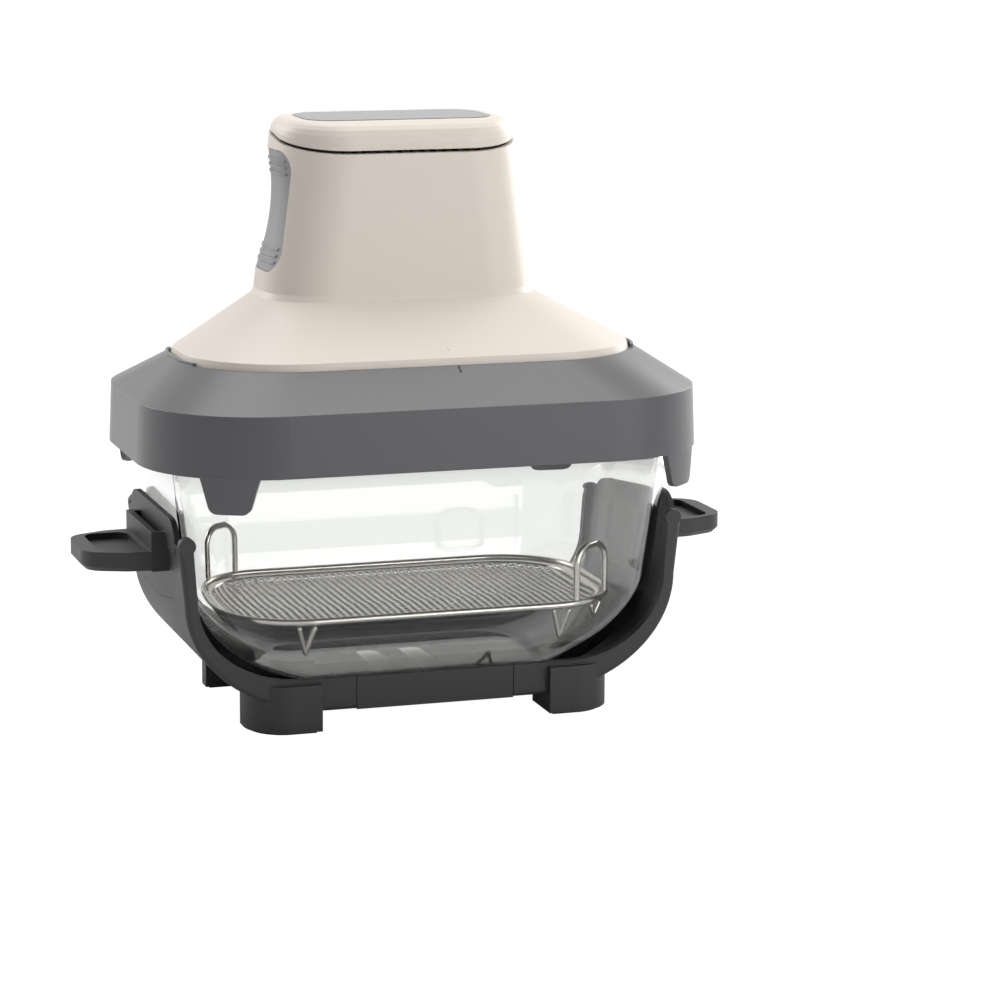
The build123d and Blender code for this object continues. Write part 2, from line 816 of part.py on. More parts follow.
def tower_at(z):
    """Half sizes of the tower's outside at a height above the neck."""
    return mix(neck_half, tower_half, (z - neck_height) / (slot_height - neck_height))


def grip_body(depth):
    """Tower body drawn in from its sides: hollowed in the middle of the grips' height."""
    rings = []
    reach = grip_half_height + 4.0
    for step in range(grip_steps + 1):
        z = grip_centre - reach + 2 * reach * step / grip_steps
        share = max(0.0, 1 - ((z - grip_centre) / grip_half_height) ** 2)
        half = tower_at(z)
        side = half[0] - depth - grip_hollow * share
        rings.append(ring((side, half[1], half[2]), z, 0.0, tower_back_set))
    return loft(rings)


def grip_window(grow):
    """Block through the left side with the grip's outline."""
    width = 2 * (grip_half_width + grow)
    outline = RectangleRounded(width, 2 * (grip_half_height + grow), grip_corner + grow)
    block = extrude(Plane.YZ * outline, -90.0)
    return Pos(-20.0, tower_back_set + grip_back_set, grip_centre) * block


def make_housing(outside):
    """Pod housing: one moulding from the skirt to the tower's top, with recesses for the grips."""
    body = outside - loft(housing_rings(-housing_wall), ruled=True)
    behind = grip_body(grip_thickness + fit_gap + housing_wall)
    in_front = grip_body(grip_thickness + fit_gap)
    lump = (grip_window(housing_wall) & outside) - behind
    cut = grip_window(inlay_gap) - in_front
    body = body + lump + mirrored(lump)
    body = body - cut - mirrored(cut)
    bosses = Part()
    for x in (-screw_x, screw_x):
        for y in (-screw_y, screw_y):
            bosses += Pos(x, y, pan_bottom + seat_gap) * extrude(Circle(screw_boss_radius), 25.0)
    body += bosses & loft(housing_rings(-0.5), ruled=True)
    hole = extrude(Circle(screw_shank_radius + fit_gap), screw_length - 2.0)
    for x, y in screw_spots():
        body -= Pos(x, y, pan_bottom) * hole
    gland = Pos(0, gland_y, gland_height) * Rot(-90, 0, 0) * Cylinder(gland_radius + fit_gap, 30.0)
    return body - gland


def screw_spots():
    """Positions of the screws that hold the base frame."""
    return [(x, y) for x in (-screw_x, screw_x) for y in (-screw_y, screw_y)]


def make_grip(outside):
    """Left grip pad: hollowed soft insert with fine ribs at its top and bottom."""
    pad = (grip_window(0.0) & grip_body(0.0) & outside) - grip_body(grip_thickness)
    ribs = Part()
    for side in (-1, 1):
        for step in range(grip_rib_count):
            z = grip_centre + side * (grip_half_height - 5.0 - step * grip_rib_pitch)
            ribs += Pos(0, tower_back_set + grip_back_set, z) * Box(200.0, 2 * grip_half_width - 12.0, 1.2)
    proud = (grip_window(0.0) & grip_body(-grip_rib)) - grip_body(0.5)
    return pad + (ribs & proud)


def make_vent_neck():
    """Slotted tube between the tower and the cap, seen only as a dark gap."""
    low = slot_height - vent_neck_depth
    tube = extrude(tilted_ring(vent_neck_half, low, tower_tilt), vent_neck_depth + vent_gap - seat_gap)
    foot = extrude(tilted_ring(tower_half, low, tower_tilt, -housing_wall - seat_gap), vent_foot_thickness)
    foot = foot & Box(2 * vent_foot_half_width, 200.0, 800.0)
    bore = extrude(tilted_ring(vent_neck_half, low - 5.0, tower_tilt, -vent_neck_wall), 40.0)
    neck = tube + foot - bore
    plane = tower_plane(slot_height + vent_gap / 2, tower_tilt)
    slots = []
    for step in range(vent_slot_count):
        x = (step - (vent_slot_count - 1) / 2) * vent_slot_pitch
        slots.append(plane * Pos(x, 0, -1.0) * Box(vent_slot_width, 100.0, 2.4))
    return neck - slots


def cap_body():
    """Outside of the cap: a tilted underside and sides that round over into a soft crown."""
    low = slot_height + vent_gap
    rings = []
    for level in cap_levels:
        share = 1 - (1 - level**cap_roundness) ** (1 / cap_roundness)
        height = low + (cap_top_height - low) * level
        tilt = tower_tilt + (cap_tilt - tower_tilt) * level
        rings.append(tilted_ring(mix(cap_half, cap_top_half, share), height, tilt))
    return loft(rings, ruled=True)


def panel_block(low, high, grow):
    """Block with the touch panel's outline, between two heights measured from the cap's top."""
    face = tilted_ring(panel_half, cap_top_height, cap_tilt, grow)
    normal = tower_plane(cap_top_height, cap_tilt).z_dir
    return extrude(face.moved(Location(normal * low)), high - low)


def make_cap():
    """Cap with a recess for the touch panel and a cavity for its board."""
    cavity = level_block(cap_cavity_half, slot_height - 20.0, cap_cavity_top, 0.0, tower_back_set)
    return cap_body() - cavity - panel_block(panel_proud - panel_thickness - fit_gap, 5.0, inlay_gap)


def make_panel():
    """Touch panel let into the cap."""
    return panel_block(panel_proud - panel_thickness, panel_proud, 0.0)


def shaft_bore(radius, low, high):
    """Round hole along the fan's axis."""
    return Pos(0, fan_axis_y, low) * extrude(Circle(radius), high - low)


def lead_places():
    """The heating coil's two leads as seen from above."""
    second = coil_outer_radius * sin(radians(coil_opening))
    return [(lead_x, fan_axis_y + lead_y), (lead_x, fan_axis_y + second)]


def pierced(solid, grow):
    """Cut the holes for the coil's leads, the sensor and the motor's posts."""
    for x, y in lead_places():
        solid -= Pos(x, y, 150.0) * extrude(Circle(coil_wire_radius + grow), 100.0)
    return solid - Pos(sensor_x, fan_axis_y, 150.0) * extrude(Circle(sensor_radius + grow), 100.0)


def make_base_frame():
    """Frame that closes the skirt, with the spigot that enters the adapter."""
    plate = level_block(skirt_half, skirt_bottom, pan_bottom, -housing_wall - skirt_lip_draft - seat_gap)
    outer = -2 * seat_gap
    spigot = level_block(adapter_opening_half, spigot_bottom, skirt_bottom + 0.5, outer)
    spigot -= level_block(adapter_opening_half, spigot_bottom - 1.0, skirt_bottom + 1.0, outer - spigot_wall)
    frame = plate + spigot - level_block(pan_half, skirt_bottom - 1.0, pan_bottom + 1.0, 0.0, pan_back_set)
    frame -= Pos(plunger_x, 0, skirt_bottom - 1.0) * extrude(Circle(plunger_radius + plunger_fit), 10.0)
    for x, y in screw_spots():
        frame -= Pos(x, y, skirt_bottom - 1.0) * extrude(Circle(screw_shank_radius + fit_gap), 10.0)
    return frame


def make_pan():
    """Pressed steel heat pan that opens downwards over the bowl."""
    mouth = ring(pan_half, pan_bottom, 0.0, pan_back_set)
    outer = loft([mouth, ring(pan_top_half, pan_top + pan_sheet, 0.0, pan_top_back_set)])
    hollow = ring(pan_half, pan_bottom, -pan_sheet, pan_back_set)
    inner = loft([hollow, ring(pan_top_half, pan_top, -pan_sheet, pan_top_back_set)])
    flange = level_block(pan_half, pan_bottom, pan_bottom + pan_sheet, pan_flange, pan_back_set)
    flange -= level_block(pan_half, pan_bottom - 1.0, pan_bottom + 2.0, -pan_sheet, pan_back_set)
    pan = outer - inner + flange - shaft_bore(shaft_radius + 1.5, pan_top - 5.0, pan_top + 5.0)
    return pierced(pan, lead_clearance)


def make_insulation():
    """Insulation blanket over the heat pan."""
    low = pan_top + pan_sheet
    blanket = level_block(insulation_half, low, insulation_top, 0.0, fan_axis_y + 1.0)
    blanket -= shaft_bore(shaft_radius + 3.0, low - 1.0, insulation_top + 1.0)
    for x, y in motor_posts():
        blanket -= Pos(x, y, low - 1.0) * extrude(Circle(motor_post_radius + 1.0), 10.0)
    blanket -= Pos(cutout_x, fan_axis_y, low - 1.0) * extrude(Circle(cutout_radius + 1.0), 10.0)
    return pierced(blanket, lead_clearance)


def motor_posts():
    """Positions of the posts under the motor plate."""
    reach = motor_plate_half_width - motor_post_radius - 2.0
    return [(x, fan_axis_y + y) for x in (-reach, reach) for y in (-reach + 4.0, reach - 4.0)]


def make_motor_plate():
    """Steel plate under the motor on four posts."""
    half = motor_plate_half_width
    plate = ring((half, half - 2.0, 4.0), motor_plate, 0.0, fan_axis_y)
    bracket = extrude(plate, motor_plate_thickness)
    for x, y in motor_posts():
        post_low = pan_top + pan_sheet
        bracket += Pos(x, y, post_low) * extrude(Circle(motor_post_radius), motor_plate - post_low + 0.5)
    return bracket - shaft_bore(shaft_radius + 2.0, motor_plate - 1.0, motor_bottom + 1.0)


def make_motor():
    """Fan motor: a can with its laminated stack and two bearing bosses."""
    can = shaft_bore(motor_radius, motor_bottom, motor_top)
    stack_low = motor_bottom + (motor_length - motor_stack_length) / 2
    stack = shaft_bore(motor_stack_radius, stack_low, stack_low + motor_stack_length)
    boss = shaft_bore(2.5 * shaft_radius, motor_top - 1.0, motor_top + 2.0)
    return can + stack + boss - shaft_bore(shaft_radius + shaft_fit, motor_bottom - 5.0, motor_top + 5.0)


def make_shaft():
    """Shaft that carries both fans."""
    return shaft_bore(shaft_radius, fan_top - fan_blade_height - 1.0, cooling_top + 1.0)


def make_fan():
    """Convection fan: a disc with upright blades and a hub on the shaft."""
    fan = shaft_bore(fan_radius, fan_top - fan_disc_thickness, fan_top)
    low = fan_top - fan_blade_height
    hub = shaft_bore(fan_hub_radius, low, fan_top)
    blade_length = fan_radius - fan_hub_radius - 3.0
    blade = Box(blade_length, fan_blade_thickness, fan_blade_height)
    for step in range(fan_blade_count):
        turned = Rot(0, 0, 360 * step / fan_blade_count) * Pos(fan_hub_radius + 2.0 + blade_length / 2, 0, 0)
        fan += Pos(0, fan_axis_y, low + fan_blade_height / 2) * turned * Rot(0, 0, 18) * blade
    return fan + hub - shaft_bore(shaft_radius + fit_gap, low - 5.0, fan_top + 5.0)


def make_cooling_fan():
    """Small cooling fan above the motor with pitched blades."""
    hub = shaft_bore(fan_hub_radius + 1.0, cooling_low, cooling_top)
    length = cooling_fan_radius - fan_hub_radius
    middle = (cooling_low + cooling_top) / 2
    fan = hub
    for step in range(cooling_fan_blades):
        blade = Rot(35, 0, 0) * Box(length, 9.0, 1.2)
        turned = Rot(0, 0, 360 * step / cooling_fan_blades) * Pos(fan_hub_radius + length / 2, 0, 0) * blade
        fan += Pos(0, fan_axis_y, middle) * turned
    return fan - shaft_bore(shaft_radius + fit_gap, cooling_low - 5.0, cooling_top + 5.0)


def make_coil():
    """Heating coil: two open loops joined by a bend, with two leads up through the pan."""
    opening = coil_opening
    inner_start = degrees(asin(lead_y / coil_inner_radius))
    mid = (coil_inner_radius + coil_outer_radius) / 2
    bend = (coil_outer_radius - coil_inner_radius) / 2
    bend_at = (mid * cos(radians(-opening)), mid * sin(radians(-opening)))
    inner = CenterArc((0, 0), coil_inner_radius, inner_start, 360 - opening - inner_start)
    turn = CenterArc(bend_at, bend, -opening, 180)
    outer = CenterArc((0, 0), coil_outer_radius, opening, 360 - 2 * opening)
    coil = Part()
    for arc in (inner, turn, outer):
        coil += swept_wire(arc, coil_wire_radius)
    coil = Pos(0, fan_axis_y, coil_level) * coil
    starts = [coil_inner_radius * cos(radians(inner_start)), coil_outer_radius * cos(radians(opening))]
    for start_x, (x, y) in zip(starts, lead_places()):
        coil += rod((start_x, y, coil_level), (x, y, coil_level), coil_wire_radius)
        coil += Pos(x, y, coil_level) * extrude(Circle(coil_wire_radius), lead_rise)
    return coil


def make_guard():
    """Wire guard under the coil: three rings on two bars with turned-up ends."""
    level = skirt_bottom - guard_drop
    guard = Part()
    for radius in guard_rings:
        guard += Pos(0, fan_axis_y, level) * Torus(radius, guard_wire)
    for y in guard_bar_y:
        ends = [(-guard_bar_half_length, y, level), (guard_bar_half_length, y, level)]
        guard += rod(ends[0], ends[1], guard_wire)
        for x, _, z in ends:
            guard += Pos(x, y, z) * extrude(Circle(guard_wire), skirt_bottom - z - fit_gap)
    return guard


def make_plunger():
    """Interlock plunger with the collar that keeps it in the frame."""
    plunger = Pos(plunger_x, 0, plunger_tip) * extrude(Circle(plunger_radius), collar_low + 3.5 - plunger_tip)
    return plunger + Pos(plunger_x, 0, collar_low) * extrude(Circle(plunger_collar_radius), plunger_collar)


def make_spring():
    """Return spring over the plunger."""
    radius = plunger_radius + 2 * spring_wire
    pitch = (spring_length - 2 * spring_wire) / spring_turns
    path = Helix(pitch, spring_length - 2 * spring_wire, radius)
    section = Plane(origin=path @ 0, z_dir=path % 0) * Rectangle(1.6 * spring_wire, 1.6 * spring_wire)
    coil = sweep(section, path=path, is_frenet=True)
    return Pos(plunger_x, 0, spring_low + spring_wire) * coil


def make_switch():
    """Microswitch on two legs over the plunger."""
    low = spring_low + spring_length
    right = plunger_x + switch_overhang
    body = Box(switch_reach, 2 * switch_half_width, switch_height)
    body = Pos(right - switch_reach / 2, 0, low + switch_height / 2) * body
    leg = Box(5.0, switch_leg, low - pan_bottom)
    for side in (-1, 1):
        y = side * (switch_half_width - switch_leg / 2)
        body += Pos(right - 2.5, y, (low + pan_bottom) / 2) * leg
    return body


def make_power_board():
    """Power board upright at the tower's back, with its relay, capacitor and standoffs."""
    middle = power_board_low + power_board_height / 2
    half = power_board_half_width
    board = Box(2 * half, board_thickness, power_board_height)
    board = Pos(0, power_board_y + board_thickness / 2, middle) * board
    board += Pos(-half + 5.0, power_board_y - 4.5, middle) * Box(8.0, 9.5, 20.0)
    board += Pos(half - 6.0, power_board_y - 4.0, middle + 4.0) * Cylinder(4.5, 18.0)
    wall = tower_back_set + tower_half[1] - housing_wall - seat_gap
    length = wall - power_board_y
    for x in (-half + 4.0, half - 4.0):
        for z in (power_board_low + 4.0, power_board_low + power_board_height - 4.0):
            board += Pos(x, wall - length / 2, z) * Rot(90, 0, 0) * Cylinder(2.0, length)
    return board


def make_control_board():
    """Control board under the touch panel."""
    top = cap_cavity_top - seat_gap
    half = control_board_half
    board = Pos(0, tower_back_set, top - board_thickness / 2) * Box(2 * half[0], 2 * half[1], board_thickness)
    for x, y, size in ((-24.0, 0.0, 9.0), (0.0, -6.0, 6.0), (22.0, 2.0, 11.0)):
        board += Pos(x, tower_back_set + y, top - board_thickness - 1.0) * Box(size, size, 2.2)
    return board


def make_sensor():
    """Temperature probe through the heat pan, with a flange on top."""
    probe = extrude(Circle(sensor_radius), insulation_top + 4.0 - sensor_low)
    flange = extrude(Circle(sensor_radius + 3.0), 1.5)
    return Pos(sensor_x, fan_axis_y, sensor_low) * probe + Pos(sensor_x, fan_axis_y, insulation_top) * flange


def make_cutout():
    """Thermal cut-out disc on the heat pan."""
    low = pan_top + pan_sheet
    disc = Pos(cutout_x, fan_axis_y, low) * extrude(Circle(cutout_radius), cutout_height)
    tabs = Pos(cutout_x, fan_axis_y, low + cutout_height + 1.8) * Box(2 * cutout_radius - 4.0, 3.0, 4.0)
    return disc + tabs


def make_gland():
    """Cord gland through the tower's back."""
    inner = gland_y - 4.6
    body = Pos(0, 0, inner) * extrude(Circle(gland_radius), gland_length + 2.0)
    flange = Pos(0, 0, gland_y) * extrude(Circle(gland_radius + 2.5), 2.0)
    seat = (Align.CENTER, Align.CENTER, Align.MIN)
    nose = Pos(0, 0, gland_y + 1.5) * Cone(gland_radius, gland_radius - 2.0, gland_length, align=seat)
    bore = Pos(0, 0, inner - 1.0) * extrude(Circle(gland_bore), 40.0)
    return Pos(0, 0, gland_height) * Rot(-90, 0, 0) * (body + flange + nose - bore)


def make_screws():
    """Screws that hold the base frame to the housing's bosses."""
    screws = []
    for x, y in screw_spots():
        head = extrude(Circle(screw_head_radius), screw_head_height)
        head = Pos(x, y, skirt_bottom - screw_head_height) * head
        shank = Pos(x, y, skirt_bottom - 0.5) * extrude(Circle(screw_shank_radius), screw_length)
        screws.append(head + shank)
    return Compound(children=screws)


def save(name, solid):
    """Write one piece to its file."""
    export_step(solid, f"parts/{name}.step")


def save_pair(name, solid):
    """Write a left piece and its mirror."""
    save(f"left_{name}", solid)
    save(f"right_{name}", mirrored(solid))


os.makedirs("parts", exist_ok=True)
save("bridge", make_bridge())
save("bowl_pads", make_bowl_pads())
save_pair("bracket", make_bracket())
save_pair("insert", make_insert())
save_pair("foot_pads", make_foot_pads())
save_pair("tab_pad", make_tab_pad())
save("glass_bowl", make_bowl())
save("crisper_rim", make_crisper_rim())
save("crisper_sheet", make_crisper_sheet())
save("crisper_legs", make_crisper_legs())
save("crisper_handles", make_crisper_handles())
save("adapter_ring", make_adapter())
save("adapter_collar", make_collar())
save("interlock_post", make_post())
save("bowl_gasket", make_gasket())
save("adapter_liner", make_liner())
pod_outside = loft(housing_rings(0.0), ruled=True)
save("pod_housing", make_housing(pod_outside))
save_pair("grip", make_grip(pod_outside))
save("vent_neck", make_vent_neck())
save("top_cap", make_cap())
save("touch_panel", make_panel())
save("base_frame", make_base_frame())
save("heat_pan", make_pan())
save("insulation", make_insulation())
save("heating_coil", make_coil())
save("coil_guard", make_guard())
save("motor_plate", make_motor_plate())
save("fan_motor", make_motor())
save("motor_shaft", make_shaft())
save("convection_fan", make_fan())
save("cooling_fan", make_cooling_fan())
save("interlock_plunger", make_plunger())
save("plunger_spring", make_spring())
save("microswitch", make_switch())
save("power_board", make_power_board())
save("control_board", make_control_board())
save("temperature_sensor", make_sensor())
save("thermal_cutout", make_cutout())
save("cord_gland", make_gland())
save("frame_screws", make_screws())
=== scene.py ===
import json
from math import cos, pi, radians, sin

import bmesh
import bpy
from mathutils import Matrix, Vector
from mathutils.bvhtree import BVHTree


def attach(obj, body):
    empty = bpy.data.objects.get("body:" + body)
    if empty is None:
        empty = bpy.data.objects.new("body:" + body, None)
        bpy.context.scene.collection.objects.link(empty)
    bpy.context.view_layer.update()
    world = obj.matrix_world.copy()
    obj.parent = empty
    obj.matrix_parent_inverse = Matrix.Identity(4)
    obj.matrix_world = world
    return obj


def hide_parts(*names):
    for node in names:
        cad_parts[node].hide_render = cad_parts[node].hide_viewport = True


# An air fryer oven as in the photo: cream heating pod, grey adapter ring, glass bowl, dark cradle.
# Scene places are in metres, +Z up, front towards -Y. The pieces' own sizes are in millimetres.

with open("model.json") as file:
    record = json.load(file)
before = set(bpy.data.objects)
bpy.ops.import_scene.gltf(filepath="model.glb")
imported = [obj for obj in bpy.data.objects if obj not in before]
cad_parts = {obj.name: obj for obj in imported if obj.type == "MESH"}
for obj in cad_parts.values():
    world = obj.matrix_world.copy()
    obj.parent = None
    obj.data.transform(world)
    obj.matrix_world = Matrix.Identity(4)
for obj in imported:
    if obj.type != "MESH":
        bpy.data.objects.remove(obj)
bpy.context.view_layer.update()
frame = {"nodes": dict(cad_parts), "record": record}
nodes = frame["nodes"]
scene = bpy.context.scene

MM = 0.001

# Camera, fitted to the photo's edges
IMAGE_PIXELS = 1000
CAMERA_AZIMUTH = -16.68
CAMERA_ELEVATION = 10.09
CAMERA_DISTANCE = 1.654
CAMERA_TARGET = Vector((0, 0, 0.138))
FOCAL_PIXELS = 3148.1
CENTRE_PIXEL = (400.8, 438.4)
SENSOR_MM = 36.0
NEAR_CLIP = 0.05

# Sizes that the dressed pieces share with the solids, in millimetres
FOOT_HALF = (72.0, 39.0, 26.0)
WAIST_HALF = (124.5, 72.0, 36.0)
RIM_HALF = (134.0, 82.5, 44.0)
BOWL_BASE = 15.5
BOWL_WAIST = 70.0
BOWL_TOP = 150.0
BOWL_POWER = 1.6
GLASS = 4.0
TRAY_HALF = (106.0, 61.0, 42.0)
TRAY_LEVEL = 57.7

# Bowl wall: rings of points and the rolled bead, as drop from the rim and reach outwards
ARC_STEPS = 14
CURVE_RINGS = 22
UPPER_RINGS = (0.3, 0.6, 0.9)
RIM_BEAD = (
    (-7.2, 0.2), (-6.2, 0.9), (-5.2, 1.6), (-4.0, 2.0), (-2.0, 2.0), (-0.8, 1.6),
    (-0.2, 0.9), (0.0, 0.0), (0.0, -3.2), (-0.3, -3.8), (-1.0, -4.1),
)

# Crisper floor: pitch and reach of its holes, its plain band and the press that dips it
HOLE_PITCH = 3.9
HOLE_REACH = 1.45
BAND = 7.0
BAND_DEPTHS = (1.9, 3.5, 5.0, BAND)
BAND_LIFT = 0.12
SHEET = 0.7
FLOOR_LEVEL = TRAY_LEVEL - 0.9
FLOOR_DIP = 2.6
DIP_START, DIP_END = 2.0, 14.0
MERGE_GAP = 0.02

# Alignment marks on the front, as x and z
RING_MARK = ((9.9, 183.2), (11.1, 183.2), (11.1, 186.0), (9.9, 186.0))
DOT_CENTRE = (8.6, 193.2)
DOT_RADIUS = 0.8
DOT_POINTS = 16
RING_MARK_RISE = 0.15
DOT_RISE = 0.3
MARK_ROOT = -0.2
MARK_SHOULDER = 0.6
MARK_DRAW_IN = 0.18
SIGHT_START = -0.3

# Studio: brightness of the surroundings, the floor, and lamps as place, size and watts
LAMP_AIM = (0, 0, 0.15)
LAMPS = {
    "top_softbox": ((0.1, 0.15, 1.5), (1.6, 1.2), 17),
    "left_rim": ((-1.05, 1.1, 0.85), (0.9, 1.0), 11),
    "right_rim": ((1.35, 0.75, 0.6), (0.9, 1.0), 12),
    "front_fill": ((0.9, -1.45, 0.6), (1.2, 1.0), 13),
}
BACKDROP_SEEN = 1.0
ROOM_LIGHT = 0.28
ROOM_FRONT = 0.25
ROOM_FALL = (-0.7, 0.2)
FLOOR_SIZE = 8.0
FLOOR_GLOW = 0.86
FLOOR_WHITE = 1.16
SHADOW_REACH = (0.16, 0.7)

# Fineness of the noise in the finishes, and of the softened edges
GRAIN_DETAIL = 3.0
GLOSS_DETAIL = 2.0
EDGE_SAMPLES = 6


def linear(hex_colour):
    """Linear colour of a hex sRGB value."""
    channels = []
    for i in (0, 2, 4):
        value = int(hex_colour[i:i + 2], 16) / 255
        channels.append(value / 12.92 if value <= 0.04045 else ((value + 0.055) / 1.055) ** 2.4)
    return (*channels, 1.0)


def add_node(tree, kind, settings=None, **sockets):
    """Add a node, with its settings, and its sockets by name or as n0, n1: a value or a link."""
    node = tree.nodes.new(kind)
    for key, value in (settings or {}).items():
        setattr(node, key, value)
    for key, value in sockets.items():
        socket = node.inputs[int(key[1:]) if key[1:].isdigit() else key.replace("_", " ")]
        if isinstance(value, bpy.types.NodeSocket):
            tree.links.new(value, socket)
        else:
            socket.default_value = value
    return node


def new_material(name, colour, roughness, metallic=0.0, **extra):
    """Material with one Principled shader."""
    material = bpy.data.materials.new(name)
    material.use_nodes = True
    shader = material.node_tree.nodes["Principled BSDF"]
    shader.inputs["Base Color"].default_value = linear(colour)
    shader.inputs["Roughness"].default_value = roughness
    shader.inputs["Metallic"].default_value = metallic
    for key, value in extra.items():
        shader.inputs[key.replace("_", " ")].default_value = value
    return material


def grain(material, size_mm, height_mm, strength=0.35, edge_mm=0.5):
    """Fine texture of a real size as a bump, over edges that read as softly rounded."""
    tree = material.node_tree
    place = add_node(tree, "ShaderNodeTexCoord").outputs["Object"]
    noise = add_node(
        tree, "ShaderNodeTexNoise", Vector=place, Scale=1 / (size_mm * MM), Detail=GRAIN_DETAIL
    )
    edge = add_node(tree, "ShaderNodeBevel", {"samples": EDGE_SAMPLES}, Radius=edge_mm * MM)
    bump = add_node(
        tree, "ShaderNodeBump", Strength=strength, Distance=height_mm * MM,
        Height=noise.outputs["Fac"], Normal=edge.outputs["Normal"],
    )
    tree.links.new(bump.outputs["Normal"], tree.nodes["Principled BSDF"].inputs["Normal"])
    return material


def uneven(material, size_mm, low, high):
    """Slightly uneven gloss: noise of a real size drives the roughness."""
    tree = material.node_tree
    place = add_node(tree, "ShaderNodeTexCoord").outputs["Object"]
    noise = add_node(
        tree, "ShaderNodeTexNoise", Vector=place, Scale=1 / (size_mm * MM), Detail=GLOSS_DETAIL
    )
    spread = add_node(
        tree, "ShaderNodeMapRange", Value=noise.outputs["Fac"], To_Min=low, To_Max=high
    )
    roughness = tree.nodes["Principled BSDF"].inputs["Roughness"]
    tree.links.new(spread.outputs["Result"], roughness)
    return material


# Moulded ABS, spark-eroded finish: a wide soft sheen with no clear reflection
cream_abs = grain(new_material("cream_moulded_abs", "d6ccc0", 0.42), 0.7, 0.02, 0.25)
# Glass-filled nylon for the hot ring: satin, brighter where it is seen at a low angle
grey_nylon = grain(new_material("grey_filled_nylon", "4f4f51", 0.33), 0.6, 0.02, 0.25)
# Moulded polypropylene with a fine grain: nearly matt charcoal
charcoal_pp = grain(new_material("charcoal_polypropylene", "29292a", 0.52), 0.5, 0.03, 0.3)
# Soft-touch elastomer moulded over the grips: even and dull
grip_elastomer = grain(new_material("grey_soft_elastomer", "8c8c8b", 0.55), 0.4, 0.02, 0.3)
# Tinted acrylic over the touch keys: glossy, so that it mirrors the pale room
panel_acrylic = uneven(new_material("tinted_acrylic", "565659", 0.2), 5.0, 0.16, 0.22)
# Black ABS for the inner mouldings
black_abs = grain(new_material("black_moulded_abs", "1b1b1c", 0.5), 0.6, 0.02, 0.3)
# Moulded rubber for feet and pads: no gloss
foot_rubber = grain(new_material("black_moulded_rubber", "232324", 0.7), 0.5, 0.02, 0.3)
# Extruded silicone, greyed brown from heat
gasket_silicone = new_material("taupe_silicone", "6b625a", 0.6)
# Polished stainless wire and sheet: bright, with faint rubbing marks
polished_steel = uneven(new_material("polished_stainless", "c6c2bc", 0.2, 1.0), 6.0, 0.16, 0.26)
# Drawn aluminised steel: soft broad reflections
pressed_steel = uneven(new_material("drawn_sheet_steel", "b9b8b5", 0.32, 1.0), 12.0, 0.28, 0.4)
# Oxidised sheath of a tube heater: dark and rough
heater_sheath = grain(new_material("oxidised_heater_tube", "3b3733", 0.55, 0.8), 0.8, 0.03, 0.4)
# Needled glass wool: pale, deep fibrous surface
glass_wool = grain(new_material("needled_glass_wool", "cfc8b4", 0.95), 1.2, 0.6, 0.8)
# Zinc-plated motor case: dull metal
motor_zinc = uneven(new_material("zinc_plated_steel", "8b8d90", 0.4, 1.0), 8.0, 0.35, 0.5)
# Epoxy board with solder mask
board_epoxy = grain(new_material("green_solder_mask", "1f5a34", 0.4), 1.5, 0.02, 0.3)
# Pressed borosilicate: clear, a little grey through both walls
borosilicate = new_material("pressed_borosilicate", "eff0ee", 0.0, IOR=1.45, Transmission_Weight=1.0)

finishes = {
    "base_plastic": charcoal_pp,
    "pad_rubber": foot_rubber,
    "bowl_glass": borosilicate,
    "crisper_steel": polished_steel,
    "adapter_plastic": grey_nylon,
    "inner_steel": pressed_steel,
    "pod_cream": cream_abs,
    "panel_grey": panel_acrylic,
    "grip_grey": grip_elastomer,
    "dark_plastic": black_abs,
    "coil_metal": heater_sheath,
    "insulation_wool": glass_wool,
    "motor_metal": motor_zinc,
    "board_green": board_epoxy,
    "spring_steel": polished_steel,
}
for part in frame["record"]["subparts"]:
    solid = nodes[part["node"]]
    gasket = part["node"] == "bowl_gasket"
    finish = gasket_silicone if gasket else finishes[part["material_slot"]]
    solid.data.materials.clear()
    solid.data.materials.append(finish)


def frame_body(node):
    """Name of the body that carries a node."""
    for body, names in frame["record"]["behaviour"]["bodies"].items():
        if node in names:
            return body
    return "root"


def rounded(half, z, grow=0.0):
    """Points of a rounded rectangle at height z, counter-clockwise."""
    reach_x, reach_y, radius = (value + grow for value in half)
    points = []
    for quarter, (side_x, side_y) in enumerate(((1, 1), (-1, 1), (-1, -1), (1, -1))):
        for step in range(ARC_STEPS + 1):
            turn = (quarter + step / ARC_STEPS) * pi / 2
            x = side_x * (reach_x - radius) + radius * cos(turn)
            y = side_y * (reach_y - radius) + radius * sin(turn)
            points.append((x * MM, y * MM, z * MM))
    return points


def between(low, high, share):
    """Values part of the way from one set of half sizes to another."""
    return tuple(a + (b - a) * share for a, b in zip(low, high))


def finished(name, mesh_data, node, material, replaces=True):
    """Make a smooth piece from a bmesh, on the body of the node that it dresses or replaces."""
    bmesh.ops.recalc_face_normals(mesh_data, faces=mesh_data.faces)
    mesh = bpy.data.meshes.new(name)
    mesh_data.to_mesh(mesh)
    mesh_data.free()
    piece = bpy.data.objects.new(name, mesh)
    scene.collection.objects.link(piece)
    mesh.materials.append(material)
    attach(piece, frame_body(node))
    if replaces:
        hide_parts(node)
    return piece


def applied(piece):
    """Turn a piece's modifiers into its plain mesh."""
    depsgraph = bpy.context.evaluated_depsgraph_get()
    mesh = bpy.data.meshes.new_from_object(piece.evaluated_get(depsgraph))
    piece.modifiers.clear()
    piece.data = mesh


def skin(mesh_data, rings):
    """Smooth quads between rings of points."""
    rows = [[mesh_data.verts.new(point) for point in ring] for ring in rings]
    for low, high in zip(rows, rows[1:]):
        for i in range(len(low)):
            j = (i + 1) % len(low)
            mesh_data.faces.new((low[i], low[j], high[j], high[i])).smooth = True
    return rows


